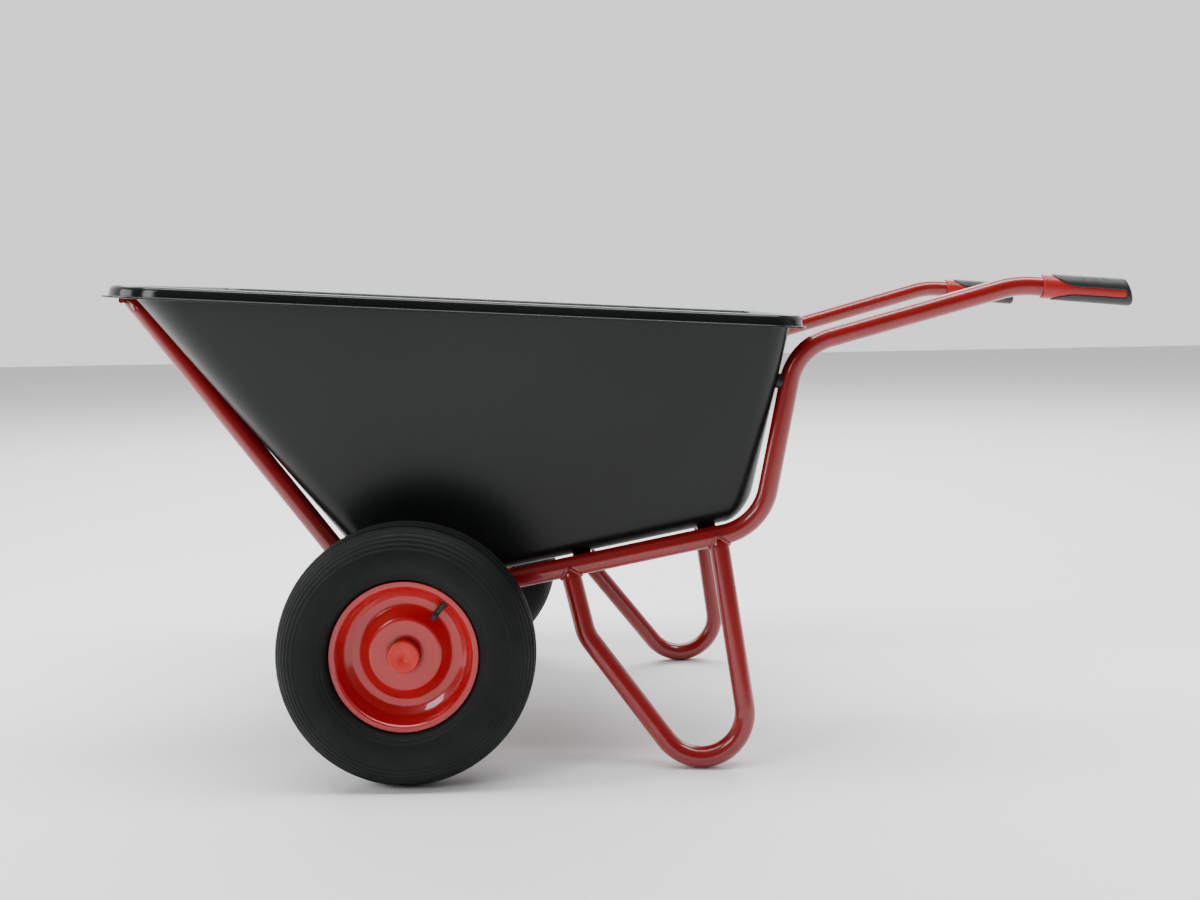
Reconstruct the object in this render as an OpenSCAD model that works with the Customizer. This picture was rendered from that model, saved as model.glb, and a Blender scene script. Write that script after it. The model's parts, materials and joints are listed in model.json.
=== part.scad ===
// Twin-wheel wheelbarrow: bent tube frame, plastic tray, two pneumatic wheels on one fixed axle.
// Millimetres. +X runs back to the handles, +Z is up, the floor is Z = 0.
// Left is the operator's left, which is the -Y side. The right side is its mirror image.

/* [Frame tube] */
// Outside diameter of the frame tube
tube_d = 32; // [28:1:34]
// Wall thickness of the frame tube
tube_wall = 2; // [1.5:0.5:3]
// Half the distance between the side tubes, abreast of the origin
half_span = 258; // [250:1:262]
// Angle at which each side tube runs outward towards its handle
plan_flare = 3.15; // [2.5:0.05:3.5]
// X of the corner where the front tube meets the base
corner_x = -382.8; // [-386:0.1:-380]
// Z of the corner where the front tube meets the base
corner_z = 244; // [242:0.1:248]
// Slope of the front tube below the level
front_slope = 51.3; // [50:0.1:53]
// Length of the front tube up to the nose
front_l = 650; // [645:1:652]
// Slope of the base tube, rising to the rear
base_slope = 11.4; // [11:0.1:12]
// Length of the base between its corners
base_l = 626; // [620:1:630]
// Slope of the riser behind the tray
riser_slope = 77.8; // [77:0.1:78.5]
// Length of the riser between its corners
riser_l = 291.5; // [288:0.5:295]
// Slope of the handle
handle_slope = 15; // [14:0.5:16]
// Length of the handle between its corners
handle_l = 360; // [340:1:380]
// Droop of the grip end of the handle
grip_slope = 5.1; // [3:0.1:7]
// Length of the tube inside the grip, from the last corner
grip_tube_l = 169; // [166:0.5:174]
// Centreline radius of the bends
bend_r = 92; // [85:1:95]
// Centreline radius of the shallow bend before the grip
grip_bend_r = 150; // [100:5:170]

/* [Legs] */
// Distance of the front leg from the front corner, along the base
leg_front = 312; // [300:1:320]
// Distance of the rear leg from the front corner, along the base
leg_rear = 556; // [550:1:560]
// Depth of the knee below the base tube
knee_drop = 110; // [100:1:120]
// Centreline radius of the knee
knee_r = 60; // [40:5:80]
// Centreline radius of the foot
foot_r = 70; // [60:1:75]
// Distance of the foot's centre from the front corner, along the base
foot_at = 470; // [460:1:480]
// Outward splay of the leg loop
leg_splay = 6.6; // [5:0.1:8]

/* [Tray] */
// Thickness of the tray's plastic
tray_wall = 5; // [4:0.5:6]
// Height of the tray's underside above the base tube's centreline
floor_lift = 12; // [12:0.5:14]
// Distance from the front tube's centreline to the tray's front wall
front_gap = 17; // [17:0.5:20]
// Distance from the riser's centreline to the tray's rear wall
rear_gap = 20; // [19:0.5:22]
// Width of the tray's floor at the front, over its side walls
floor_front_w = 464; // [440:2:466]
// Width of the tray 80 mm above its floor at the rear
floor_rear_w = 520; // [500:2:530]
// Width of the tray under its rim
mouth_w = 670; // [660:2:680]
// Height of the rim's lip above the floor, abreast of the origin
rim_z = 702; // [700:1:706]
// Slope of the rim, falling to the rear
rim_slope = 3.6; // [3.4:0.1:3.8]
// X of the lip at the nose
lip_front_x = -818.8; // [-821:0.1:-817]
// X of the lip at the rear
lip_rear_x = 307.8; // [305:0.1:309]
// Width over the lip
lip_w = 740; // [736:2:750]
// Height of the rolled rim
rim_h = 20; // [18:1:22]

/* [Wheels] */
// Tyre diameter
tyre_d = 400; // [400:1:401]
// Tyre width
tyre_w = 100; // [96:1:102]
// Distance between the tyres' mid-planes
track = 700; // [698:1:710]
// X of the axle
axle_x = -325.2; // [-330:0.1:-320]
// Axle diameter
axle_d = 20; // [18:1:20]
// Radial running clearance of each bush on the axle
run_gap = 0.05; // [0.03:0.01:0.09]
// Rim flange diameter
flange_d = 228; // [226:1:230]

/* [Grips] */
// Length of the grip
grip_l = 140; // [136:1:150]
// Diameter of the grip over its soft pads
grip_d = 41; // [40:1:44]

/* [Hidden] */
$fn = 64;

red = [0.62, 0.03, 0.03];
bright_red = [0.8, 0.05, 0.04];
black = [0.09, 0.1, 0.1];
steel = [0.7, 0.7, 0.7];

// Points and headings in the plane of the side tube are [x, z]; headings turn from +X up towards +Z.
function heading(a) = [cos(a), sin(a)];
function left_of(a) = [-sin(a), cos(a)];
function meet(p, a, q, b) =
  p + heading(a) * ((q[0] - p[0]) * sin(b) - (q[1] - p[1]) * cos(b)) / sin(b - a);
// Centre of a round of radius r that touches both lines through p, on the left of heading a
// and on the left of heading b
function round_centre(p, a, b, r) = meet(p + left_of(a) * r, a, p + left_of(b) * r, b);

corner = [corner_x, corner_z];
nose_end = corner - heading(-front_slope) * front_l;
riser_foot = corner + heading(base_slope) * base_l;
riser_top = riser_foot + heading(riser_slope) * riser_l;
handle_end = riser_top + heading(handle_slope) * handle_l;
tube_end = handle_end + heading(-grip_slope) * grip_tube_l;
tube_path = [nose_end, corner, riser_foot, riser_top, handle_end, tube_end];
tube_radii = [0, bend_r, bend_r, bend_r, grip_bend_r, 0];
tube_r = tube_d / 2;

// The leg loop lies in a plane hinged on the base tube: x runs along the tube, y is square to it.
foot_reach = foot_r * sqrt(pow(sin(base_slope), 2) + pow(cos(base_slope) * cos(leg_splay), 2));
foot_drop = (tube_r + foot_reach - corner_z - foot_at * sin(base_slope))
  / (cos(base_slope) * cos(leg_splay));
foot_centre = [foot_at, foot_drop];
knee = [leg_front + knee_drop * tan(3), -knee_drop];
knee_to_foot = foot_centre - knee;
arm_heading = atan2(knee_to_foot[1], knee_to_foot[0]) - asin(foot_r / norm(knee_to_foot));
leg_top = [leg_rear, 0];
foot_to_top = leg_top - foot_centre;
rear_heading = atan2(foot_to_top[1], foot_to_top[0]) + asin(foot_r / norm(foot_to_top));
leg_top_gap = 6;
front_top = knee + heading(93) * (knee_drop - leg_top_gap);
leg_path = [front_top, knee, meet(knee, arm_heading, leg_top, rear_heading),
  leg_top - heading(rear_heading) * leg_top_gap];

// Tray outline, seen from the side
fold_r = 18;
front_plan_r = 40;
heel_r = 80;
heel_end_r = 30;
mouth_front_r = 90;
mouth_rear_r = 30;
mouth_lift = 15;
lip_t = 3;
lip_out = 10;
front_foot = corner + left_of(-front_slope) * front_gap;
floor_line = corner + left_of(base_slope) * floor_lift;
rear_line = riser_foot + left_of(riser_slope) * rear_gap;
front_fold = meet(front_foot, -front_slope, floor_line, base_slope);
rear_fold = meet(floor_line, base_slope, rear_line, riser_slope);
fold_centre = round_centre(front_fold, -front_slope, base_slope, fold_r);
disc_centre = fold_centre + heading(base_slope) * (front_plan_r - fold_r);
heel_centre = round_centre(rear_fold, base_slope, riser_slope, heel_r);
rim_origin = [0, rim_z];
mouth_line = rim_origin + left_of(-rim_slope) * mouth_lift;
mouth_front = (meet(front_foot, -front_slope, mouth_line, -rim_slope)
  - mouth_line) * heading(-rim_slope);
mouth_rear = (meet(rear_line, riser_slope, mouth_line, -rim_slope)
  - mouth_line) * heading(-rim_slope);
lip_front = lip_front_x / cos(rim_slope);
lip_rear = lip_rear_x / cos(rim_slope);

// Cross plates and their bolts, measured along the base from the front corner
plate_at = [335, 542];
plate_w = 30;
plate_t = 4;
bolt_y = 150;
bolt_r = 4;
bolt_hole_r = 4.25;

// Wheel, measured outward from its mid-plane
tyre_r = tyre_d / 2;
section_r = tyre_w / 2;
tyre_skin = 7;
seat_r = 106;
flange_r = flange_d / 2;
flange_in = 25;
hub_r = 28;
hub_bore_r = 25.5;
hub_in = -46;
hub_out = 15;
bush_l = 18;
bush_out = 8;
bush_flange = 2;
thrust_gap = 0.8;
washer_t = 2.2;
axle_out = 20;
cap_out = 32;
pin_r = 1.9;
pin_at = bush_out + thrust_gap + washer_t + pin_r + 1.3;
valve_angle = 51;
valve_y = 10;
stem_l = 32;
bracket_y = half_span + axle_x * tan(plan_flare);
bracket_t = 6;
axle_r = axle_d / 2;

module left() {
  children();
}

module right() {
  mirror([0, 1, 0]) children();
}

module both_sides() {
  left() children();
  right() children();
}

// Plane of the left side tube: x runs back, y is up and z points outward
module tube_plane() {
  translate([0, -half_span, 0])
    rotate([0, 0, -plan_flare])
      rotate([90, 0, 0])
        children();
}

// Plane of the left leg loop
module leg_plane() {
  tube_plane()
    translate([corner[0], corner[1], 0])
      rotate([0, 0, base_slope])
        rotate([-leg_splay, 0, 0])
          children();
}

// Frame on the base tubes' centre plane: x runs along the base and z is square to it
module base_frame() {
  translate([corner[0], 0, corner[1]])
    rotate([0, -base_slope, 0])
      children();
}

module ring(od, wall) {
  difference() {
    circle(d = od);
    if (wall > 0) circle(d = od - 2 * wall);
  }
}

// A tube bent along a path of corner points, with a centreline radius at each corner
// and at each end of a bend the straight run is let in, under the bend's slightly thicker wall
module bent_tube(points, radii, od, wall) {
  last = len(points) - 1;
  let_in = 1;
  swell = 0.05;
  runs = [for (i = [0 : last - 1]) points[i + 1] - points[i]];
  ways = [for (run = runs) atan2(run[1], run[0])];
  trims = [for (i = [0 : last])
    i == 0 || i == last ? 0 : radii[i] * tan(abs(ways[i] - ways[i - 1]) / 2)];
  for (i = [0 : last - 1]) {
    from = trims[i] - (i > 0 ? let_in : 0);
    to = norm(runs[i]) - trims[i + 1] + (i + 1 < last ? let_in : 0);
    start = points[i] + heading(ways[i]) * from;
    translate([start[0], start[1], 0])
      rotate([0, 0, ways[i]])
        rotate([0, 90, 0])
          linear_extrude(to - from)
            ring(od, wall);
  }
  for (i = [1 : last - 1]) {
    turn = ways[i] - ways[i - 1];
    side = sign(turn);
    centre = points[i] - heading(ways[i - 1]) * trims[i] + left_of(ways[i - 1]) * radii[i] * side;
    translate([centre[0], centre[1], 0])
      rotate([0, 0, side > 0 ? ways[i - 1] - 90 : ways[i] + 90])
        rotate_extrude(angle = abs(turn))
          translate([radii[i], 0])
            ring(od + 2 * swell, wall > 0 ? wall + 2 * swell : 0);
  }
}

// Solid rod along one straight run of the side tube, for shaping what is welded to it
module run_rod(from, to) {
  run = to - from;
  tube_plane()
    translate([from[0], from[1], 0])
      rotate([0, 0, atan2(run[1], run[0])])
        rotate([0, 90, 0])
          cylinder(d = tube_d, h = norm(run));
}

pad_at = riser_foot + heading(riser_slope) * (riser_l * 0.8);
pad_l = rear_gap + 4;
screw_head_at = rear_gap + tray_wall + 1;
screw_hole_r = 3.2;

// Frame at the rear pad: z points forward, square to the tray's rear wall
module pad_frame() {
  translate([pad_at[0], -half_span - pad_at[0] * tan(plan_flare), pad_at[1]])
    rotate([0, -riser_slope, 0])
      children();
}

module side_tube() {
  color(red)
    difference() {
      tube_plane() bent_tube(tube_path, tube_radii, tube_d, tube_wall);
      pad_frame() cylinder(r = screw_hole_r, h = tube_d);
    }
}

module leg_loop() {
  color(red)
    difference() {
      leg_plane() bent_tube(leg_path, [0, knee_r, foot_r, 0], tube_d, tube_wall);
      run_rod(corner, riser_foot);
    }
}

module nose_crossbar() {
  bar_r = 5;
  bar_half = half_span + nose_end[0] * tan(plan_flare) + tube_r - 2;
  color(red)
    difference() {
      translate([nose_end[0] - 12, bar_half, nose_end[1] - 4])
        rotate([90, 0, 0])
          cylinder(r = bar_r, h = 2 * bar_half);
      both_sides() run_rod(nose_end, corner);
    }
}

module cross_plate(at) {
  span = 2 * half_span;
  color(red)
    difference() {
      base_frame()
        translate([at - plate_w / 2, -span / 2, floor_lift - plate_t])
          cube([plate_w, span, plate_t]);
      both_sides() run_rod(corner, riser_foot);
      for (y = [-bolt_y, bolt_y])
        base_frame() translate([at, y, 0]) cylinder(r = bolt_hole_r, h = 2 * floor_lift);
    }
}

// Plate hung under the side tube, square to the axle
module axle_bracket() {
  boss_r = 24;
  top = corner_z + (axle_x - corner_x) * tan(base_slope);
  color(red)
    difference() {
      translate([axle_x, -bracket_y + bracket_t / 2, tyre_r])
        rotate([90, 0, 0])
          linear_extrude(bracket_t)
            difference() {
              union() {
                circle(r = boss_r);
                polygon([[-boss_r, 0], [boss_r, 0], [48, top - tyre_r + 8], [-34, top - tyre_r - 6]]);
              }
              circle(r = axle_r);
            }
      run_rod(corner, riser_foot);
      tube_plane() bent_tube([nose_end, corner, riser_foot], [0, bend_r, 0], tube_d, 0);
    }
}

// A solid of revolution about the axle; its outline is [radius, distance outward from mid-plane]
module about_axle() {
  translate([axle_x, -track / 2, tyre_r])
    rotate([90, 0, 0])
      rotate_extrude()
        children();
}

// A plain ring on the axle's line
module axle_ring(r_in, r_out, from, to) {
  about_axle()
    translate([r_in, from])
      square([r_out - r_in, to - from]);
}

module axle() {
  color(steel)
    difference() {
      translate([axle_x, track / 2 + axle_out, tyre_r])
        rotate([90, 0, 0])
          cylinder(r = axle_r, h = track + 2 * axle_out);
      both_sides()
        translate([axle_x, -track / 2 - pin_at, 0])
          cylinder(r = pin_r + 0.1, h = tyre_d);
    }
}

module axle_spacers() {
  color(steel)
    both_sides()
      axle_ring(axle_r, axle_r + 4, bracket_y + bracket_t / 2 - track / 2,
        hub_in - bush_flange - thrust_gap - washer_t);
}

module inner_axle_washers() {
  color(steel)
    both_sides()
      axle_ring(axle_r, 18, hub_in - bush_flange - thrust_gap - washer_t,
        hub_in - bush_flange - thrust_gap);
}

module outer_axle_washers() {
  color(steel)
    both_sides()
      axle_ring(axle_r, 17, bush_out + thrust_gap, bush_out + thrust_gap + washer_t);
}

module split_pins() {
  color(steel)
    both_sides()
      translate([axle_x, -track / 2 - pin_at, tyre_r - 15]) {
        cylinder(r = pin_r, h = 28);
        translate([0, 0, 29]) sphere(r = 3);
      }
}

// A disc of radius plan_r with its edge rounded by edge_r, drawn in by inset
module rounded_disc(plan_r, edge_r, inset) {
  rotate_extrude($fn = 32)
    intersection() {
      translate([plan_r - edge_r, 0]) circle(r = edge_r - inset, $fn = 32);
      translate([0, -edge_r]) square([plan_r, 2 * edge_r]);
    }
}

// Convex outer form of the tub, drawn in by inset, with its mouth raised by extra
module tub(inset, extra) {
  hull()
    for (side = [-1, 1]) {
      translate([disc_centre[0], side * (floor_front_w / 2 - front_plan_r), disc_centre[1]])
        rotate([0, -base_slope, 0])
          rounded_disc(front_plan_r, fold_r, inset);
      translate([heel_centre[0], side * (floor_rear_w / 2 - heel_end_r), heel_centre[1]])
        rotate([90, -base_slope, 0])
          rounded_disc(heel_r, heel_end_r, inset);
      rim_frame() {
        translate([mouth_front + mouth_front_r, side * (mouth_w / 2 - mouth_front_r), mouth_lift])
          cylinder(r = mouth_front_r - inset, h = extra, $fn = 48);
        translate([mouth_rear - mouth_rear_r, side * (mouth_w / 2 - mouth_rear_r), mouth_lift])
          cylinder(r = mouth_rear_r - inset, h = extra, $fn = 48);
      }
    }
}

// Frame of the rim: x runs back along it and z is square to it, from the underside of the lip
module rim_frame() {
  translate([rim_origin[0], 0, rim_origin[1]])
    rotate([0, rim_slope, 0])
      children();
}

// A slab with the rim's outline, drawn in by inset
module rim_slab(inset, low, high) {
  front_r = 125;
  rear_r = 95;
  rim_frame()
    hull()
      for (side = [-1, 1]) {
        translate([lip_front + front_r, side * (lip_w / 2 - front_r), low])
          cylinder(r = front_r - inset, h = high - low, $fn = 48);
        translate([lip_rear - rear_r, side * (lip_w / 2 - rear_r), low])
          cylinder(r = rear_r - inset, h = high - low, $fn = 48);
      }
}

module tray() {
  color(black)
    difference() {
      union() {
        tub(0, rim_h - mouth_lift - lip_t / 2);
        difference() {
          union() {
            rim_slab(0, 0, lip_t);
            rim_slab(lip_out, 0, rim_h);
          }
          rim_slab(lip_out + lip_t, -1, rim_h - lip_t);
        }
      }
      tub(tray_wall, rim_h);
      at_floor_bolts() cylinder(r = bolt_hole_r, h = 4 * tray_wall, center = true);
      both_sides() pad_frame() cylinder(r = screw_hole_r, h = 2 * tube_d);
    }
}

// One of these at each floor bolt
module at_floor_bolts() {
  for (at = plate_at, y = [-bolt_y, bolt_y])
    base_frame() translate([at, y, floor_lift]) children();
}

module floor_bolts() {
  head_h = 5;
  shank_l = 32;
  top = tray_wall + 2;
  color(steel)
    at_floor_bolts() {
      translate([0, 0, top - shank_l]) cylinder(r = bolt_r, h = shank_l);
      translate([0, 0, top])
        difference() {
          cylinder(r1 = 8.5, r2 = 6, h = head_h);
          translate([0, 0, 2]) cylinder(r = 2.8, h = head_h, $fn = 6);
        }
    }
}

module floor_washers() {
  color(steel)
    at_floor_bolts()
      translate([0, 0, tray_wall])
        difference() {
          cylinder(r = 11.5, h = 2);
          translate([0, 0, -1]) cylinder(r = bolt_hole_r, h = 4);
        }
}

module floor_nuts() {
  color(steel)
    at_floor_bolts()
      translate([0, 0, -plate_t - 6.5])
        difference() {
          cylinder(r = 7.5, h = 6.5, $fn = 6);
          translate([0, 0, -1]) cylinder(r = bolt_r, h = 9);
        }
}

module rear_wall_screws() {
  shank_r = 3;
  tip_at = 9;
  color(steel)
    both_sides()
      pad_frame() {
        translate([0, 0, tip_at]) cylinder(r = shank_r, h = screw_head_at - tip_at);
        translate([0, 0, screw_head_at])
          difference() {
            cylinder(r1 = 8, r2 = 6, h = 4);
            translate([0, 0, 1.5]) cylinder(r = 2.5, h = 4, $fn = 6);
          }
      }
}

// Rubber spacer between the riser and the tray, shaped to both
module rear_pad() {
  color(black)
    difference() {
      pad_frame()
        difference() {
          translate([0, 0, 2]) cylinder(r = 12, h = pad_l - 2);
          cylinder(r = screw_hole_r, h = 2 * pad_l);
        }
      run_rod(riser_foot, riser_top);
      tub(0, rim_h - mouth_lift - lip_t / 2);
    }
}

// Frame of the left grip: x runs along the tube to its end
module grip_frame() {
  tube_plane()
    translate([tube_end[0], tube_end[1], 0])
      rotate([0, 0, -grip_slope])
        translate([10 - grip_l, 0, 0])
          rotate([0, 90, 0])
            children();
}

module grip_core() {
  core_r = grip_d / 2 - 3;
  color(bright_red)
    grip_frame()
      difference() {
        union() {
          cylinder(r = core_r, h = grip_l - 4);
          cylinder(r = grip_d / 2 - 0.5, h = 14);
        }
        translate([0, 0, -1]) cylinder(r = tube_r, h = grip_l - 9);
      }
}

module grip_pads() {
  core_r = grip_d / 2 - 3;
  stripe = 22;
  color(black)
    grip_frame() {
      for (turn = [0, 180])
        rotate([0, 0, turn + stripe / 2 - 90])
          translate([0, 0, 14])
            rotate_extrude(angle = 180 - stripe)
              translate([core_r, 0])
                square([3, grip_l - 18]);
      translate([0, 0, grip_l - 4]) cylinder(r = grip_d / 2, h = 4);
    }
}

module tyre() {
  color(black)
    about_axle()
      difference() {
        translate([tyre_r - section_r, 0]) circle(r = section_r);
        translate([tyre_r - section_r, 0]) circle(r = section_r - tyre_skin);
        translate([0, -section_r]) square([seat_r, tyre_w]);
        translate([0, -16]) square([seat_r + 12, 32]);
        for (side = [0, 1])
          mirror([0, side])
            translate([0, flange_in]) square([flange_r + 0.5, section_r]);
      }
}

module inner_tube() {
  color(black)
    about_axle()
      difference() {
        translate([tyre_r - section_r, 0]) circle(r = section_r - tyre_skin - 0.5);
        translate([tyre_r - section_r, 0]) circle(r = section_r - tyre_skin - 2.5);
        translate([0, -section_r]) square([seat_r + 6, tyre_w]);
      }
}

module rim() {
  outer_half = [[hub_r, 15], [54, 15], [71, -1], [84, -1], [95, 6], [101.5, 18], [103.5, 26],
    [106, 29], [flange_r, 29], [flange_r, 27], [107.5, 27], [105.8, 25], [103.8, 17], [96.5, 4],
    [85, -3.5], [70, -3.5], [53, 12.5], [hub_r, 12.5]];
  inner_half = [[74, -3], [85, -3], [96.5, -8], [103.8, -17], [105.8, -25], [107.5, -27],
    [flange_r, -27], [flange_r, -29], [106, -29], [103.5, -26], [101.5, -18], [95, -10],
    [84, -6], [74, -6]];
  color(bright_red)
    difference() {
      union() {
        about_axle() polygon(outer_half);
        about_axle() polygon(inner_half);
      }
      valve_frame() cylinder(r = 5.5, h = 18);
    }
}

// Frame of the valve: z points from the rim's barrel to the hub
module valve_frame() {
  translate([axle_x, -track / 2 - valve_y, tyre_r])
    rotate([0, -valve_angle, 0])
      translate([seat_r + 2, 0, 0])
        rotate([0, -90, 0])
          children();
}

module valve_stem() {
  base_r = 5.4;
  stem_r = 4.6;
  color(black)
    valve_frame() {
      cylinder(r = base_r, h = 12);
      translate([0, 0, 12]) cylinder(r1 = base_r, r2 = stem_r, h = 3);
      translate([0, 0, 15]) cylinder(r = stem_r, h = stem_l - 15);
    }
}

module valve_cap() {
  cap_r = 5;
  color(black)
    valve_frame()
      translate([0, 0, stem_l]) {
        cylinder(r = cap_r, h = 8);
        translate([0, 0, 8]) cylinder(r1 = cap_r, r2 = 3.4, h = 1.5);
      }
}

module hub_tube() {
  color(bright_red) axle_ring(hub_bore_r, hub_r, hub_in, hub_out);
}

module inner_bush() {
  color([0.85, 0.85, 0.82])
    about_axle()
      union() {
        translate([axle_r + run_gap, hub_in - bush_flange])
          square([hub_bore_r - axle_r - run_gap, bush_l + bush_flange]);
        translate([axle_r + run_gap, hub_in - bush_flange])
          square([hub_r - axle_r - run_gap, bush_flange]);
      }
}

module outer_bush() {
  color([0.85, 0.85, 0.82])
    axle_ring(axle_r + run_gap, hub_bore_r, bush_out - bush_l, bush_out);
}

module hub_cap() {
  cap_r = 24;
  skirt_r = 20;
  color([0.9, 0.16, 0.08])
    about_axle()
      polygon([[0, cap_out - 4], [skirt_r, cap_out - 4], [skirt_r, bush_out], [cap_r, bush_out],
        [cap_r, cap_out - 2], [cap_r - 2, cap_out], [0, cap_out]]);
}

left() side_tube();  // left_side_tube
right() side_tube();  // right_side_tube
nose_crossbar();
cross_plate(plate_at[0]);  // front_cross_plate
cross_plate(plate_at[1]);  // rear_cross_plate
left() leg_loop();  // left_leg_loop
right() leg_loop();  // right_leg_loop
left() axle_bracket();  // left_axle_bracket
right() axle_bracket();  // right_axle_bracket
axle();
axle_spacers();
inner_axle_washers();
outer_axle_washers();
split_pins();
tray();
floor_bolts();
floor_washers();
floor_nuts();
rear_wall_screws();
left() rear_pad();  // left_rear_pad
right() rear_pad();  // right_rear_pad
left() grip_core();  // left_grip_core
right() grip_core();  // right_grip_core
left() grip_pads();  // left_grip_pads
right() grip_pads();  // right_grip_pads
left() tyre();  // left_tyre
right() tyre();  // right_tyre
left() inner_tube();  // left_inner_tube
right() inner_tube();  // right_inner_tube
left() rim();  // left_rim
right() rim();  // right_rim
left() hub_tube();  // left_hub_tube
right() hub_tube();  // right_hub_tube
left() inner_bush();  // left_inner_bush
right() inner_bush();  // right_inner_bush
left() outer_bush();  // left_outer_bush
right() outer_bush();  // right_outer_bush
left() hub_cap();  // left_hub_cap
right() hub_cap();  // right_hub_cap
left() valve_stem();  // left_valve_stem
right() valve_stem();  // right_valve_stem
left() valve_cap();  // left_valve_cap
right() valve_cap();  // right_valve_cap
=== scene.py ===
# Looks of the twin-wheel wheelbarrow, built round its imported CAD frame.
# Metres, in the row frame: +X runs back to the handles, +Z is up, the floor is Z = 0.
# The left side is -Y, towards the camera, and each right-hand piece is its mirror image.
# Sections are drawn in millimetres and scaled by MM.
import json
import math

import bpy
import numpy as np
from mathutils import Matrix, Vector


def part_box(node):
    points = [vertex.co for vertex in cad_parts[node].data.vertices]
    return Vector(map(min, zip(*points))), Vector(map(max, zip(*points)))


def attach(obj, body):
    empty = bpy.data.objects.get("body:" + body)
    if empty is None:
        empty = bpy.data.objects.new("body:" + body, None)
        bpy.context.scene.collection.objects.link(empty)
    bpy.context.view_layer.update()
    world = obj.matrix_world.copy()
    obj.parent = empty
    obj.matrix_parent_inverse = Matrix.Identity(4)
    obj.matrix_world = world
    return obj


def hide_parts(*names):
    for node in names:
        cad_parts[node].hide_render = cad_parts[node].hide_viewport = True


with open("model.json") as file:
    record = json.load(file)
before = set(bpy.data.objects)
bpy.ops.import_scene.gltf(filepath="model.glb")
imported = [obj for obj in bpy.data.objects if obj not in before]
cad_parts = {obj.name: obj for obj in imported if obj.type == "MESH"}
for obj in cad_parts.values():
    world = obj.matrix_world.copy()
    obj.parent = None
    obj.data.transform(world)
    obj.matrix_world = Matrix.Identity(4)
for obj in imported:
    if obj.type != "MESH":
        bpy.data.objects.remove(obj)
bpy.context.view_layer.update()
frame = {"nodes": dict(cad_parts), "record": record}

MM = 0.001
SIDES = {"left": 1, "right": -1}

# Driving dimensions of the frame tube, in metres and degrees
TUBE_R = 0.016
TUBE_WALL = 0.002
HALF_SPAN = 0.258
PLAN_FLARE = 3.15
CORNER = np.array([-0.3828, 0.244])
FRONT_SLOPE, FRONT_L = 51.3, 0.650
BASE_SLOPE, BASE_L = 11.4, 0.626
RISER_SLOPE, RISER_L = 77.8, 0.2915
HANDLE_SLOPE, HANDLE_L = 15.0, 0.360
GRIP_SLOPE, GRIP_TUBE_L = 5.1, 0.169
BEND_R = 0.092
GRIP_BEND_R = 0.150
BORE_SHOWN = 0.03

# Legs, measured in the plane hinged on the base tube
LEG_FRONT, LEG_REAR = 0.312, 0.556
KNEE_DROP, KNEE_R = 0.110, 0.060
FOOT_R, FOOT_AT = 0.070, 0.470
LEG_SPLAY = 6.6
LEG_FRONT_WAY = 93

# Tray
TRAY_WALL = 0.005
FLOOR_LIFT = 0.012
FRONT_GAP, REAR_GAP = 0.017, 0.020
FLOOR_HALF_FRONT, FLOOR_HALF_REAR = 0.228, 0.251
MOUTH_HALF = 0.335
RIM_Z, RIM_SLOPE = 0.702, 3.6
MOUTH_LIFT = 0.015
LIP_HALF = 0.370
LIP_FRONT_X, LIP_REAR_X = -0.8188, 0.3078

# Radii of the tray's corners seen from above, at its fold, its mouth and its lip
FOLD_FRONT_R, FOLD_REAR_R = 0.042, 0.036
MOUTH_FRONT_R, MOUTH_REAR_R = 0.090, 0.036
LIP_FRONT_R, LIP_REAR_R = 0.125, 0.095

# How far the round between floor and wall reaches from the fold, at the sides and the ends
TURN_SIDE, TURN_FRONT, TURN_REAR = 0.028, 0.012, 0.052

# Valve, at its place on the left wheel
VALVE_ANGLE = 51
VALVE_OUT = 0.010
VALVE_FOOT_R = 0.108
RIBS_FROM, RIBS_TO = 0.034, 0.0395

# Grips, whose ends pass the tube's, with the tilt of their side stripes
GRIP_L = 0.140
GRIP_R0, GRIP_R1 = 0.0194, 0.0205
GRIP_PAST_TUBE = 0.010
GRIP_END_SLANT = 0.011
CORE_L = GRIP_L - 0.012
STRIPE_TILT = math.radians(-11)


# ---------------------------------------------------------------- plane geometry

def heading(degrees):
    a = math.radians(degrees)
    return np.array([math.cos(a), math.sin(a)])


def left_of(degrees):
    return heading(degrees + 90)


def meet(p, a, q, b):
    """Where the line through p at heading a meets the line through q at heading b."""
    d, e = heading(a), heading(b)
    t = ((q[0] - p[0]) * e[1] - (q[1] - p[1]) * e[0]) / (d[0] * e[1] - d[1] * e[0])
    return p + d * t


def rounded(points, radii, steps=8, closed=False):
    """The polyline with each corner replaced by an arc of its own radius."""
    points = [np.array(p, float) for p in points]
    out = []
    n = len(points)
    for i, p in enumerate(points):
        if radii[i] <= 0 or (not closed and i in (0, n - 1)):
            out.append(p)
            continue
        back = points[i - 1] - p
        ahead = points[(i + 1) % n] - p
        lb, la = np.linalg.norm(back), np.linalg.norm(ahead)
        back, ahead = back / lb, ahead / la
        half = math.acos(max(-1.0, min(1.0, float(back @ ahead)))) / 2
        if half > math.pi / 2 - 1e-4:
            out.append(p)
            continue
        radius = min(radii[i], 0.98 * la * math.tan(half), 0.98 * lb * math.tan(half))
        middle = (back + ahead) / np.linalg.norm(back + ahead)
        centre = p + middle * radius / math.sin(half)
        start = p + back * radius / math.tan(half) - centre
        end = p + ahead * radius / math.tan(half) - centre
        sweep = math.pi - 2 * half
        for k in range(steps + 1):
            f = k / steps
            out.append(centre + (start * math.sin((1 - f) * sweep)
                                 + end * math.sin(f * sweep)) / math.sin(sweep))
    return np.array(out)


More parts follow.
